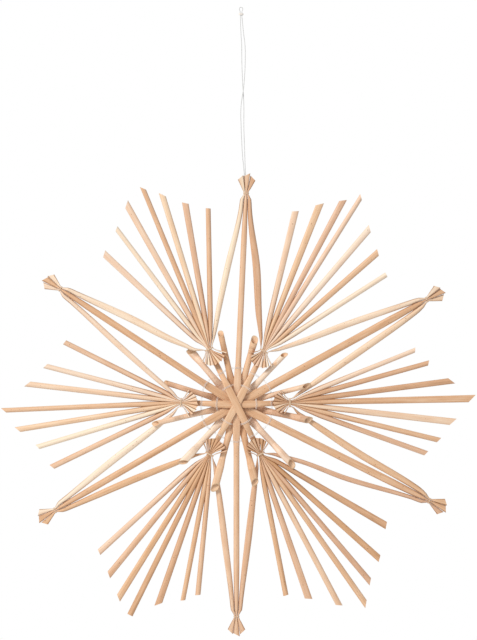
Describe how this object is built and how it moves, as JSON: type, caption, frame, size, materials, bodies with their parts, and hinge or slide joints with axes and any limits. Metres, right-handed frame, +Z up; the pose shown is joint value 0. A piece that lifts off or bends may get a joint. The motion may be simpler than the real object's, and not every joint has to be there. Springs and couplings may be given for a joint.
{
  "type": "straw star ornament",
  "caption": "Star of rye straws tied with thread, with fans of straws between its points and a thread loop to hang it by.",
  "frame": {"origin": "the top of the hanging loop, where a hook or nail holds the star", "axes": "+Z up along the loop, -Y towards the viewer who faces the star, +X to that viewer's right"},
  "size_m": [0.3988, 0.0134, 0.5287],
  "materials": {
    "straw": "satin",
    "pale_straw": "satin",
    "thread": "matte",
    "loop_thread": "matte"
  },
  "bodies": {
    "root": {"spoke_12_6": "straw", "spoke_2_8": "straw", "spoke_4_10": "straw", "crossbar_11_5": "straw", "crossbar_1_7": "straw", "crossbar_3_9": "straw", "edge_straw_3_2": "straw", "edge_straw_3_4": "straw", "edge_straw_1_12": "straw", "edge_straw_1_2": "straw", "edge_straw_11_10": "straw", "edge_straw_11_12": "straw", "edge_straw_9_8": "straw", "edge_straw_9_10": "straw", "edge_straw_7_6": "straw", "edge_straw_7_8": "straw", "edge_straw_5_4": "straw", "edge_straw_5_6": "straw", "short_tube_075": "pale_straw", "short_tube_105": "pale_straw", "short_tube_045": "pale_straw", "short_tube_015": "pale_straw", "short_tube_135": "pale_straw", "short_tube_165": "pale_straw", "fan_3": "pale_straw", "fan_1": "pale_straw", "fan_11": "pale_straw", "fan_9": "pale_straw", "fan_7": "pale_straw", "fan_5": "pale_straw", "fan_tie_3": "thread", "fan_tie_1": "thread", "fan_tie_11": "thread", "fan_tie_9": "thread", "fan_tie_7": "thread", "fan_tie_5": "thread", "tip_tie_12": "thread", "tip_tie_2": "thread", "tip_tie_4": "thread", "tip_tie_6": "thread", "tip_tie_8": "thread", "tip_tie_10": "thread", "hub_thread_inner": "thread", "hub_thread_outer": "thread", "loop_knot": "thread", "hanging_loop": "loop_thread"}
  },
  "joints": []
}
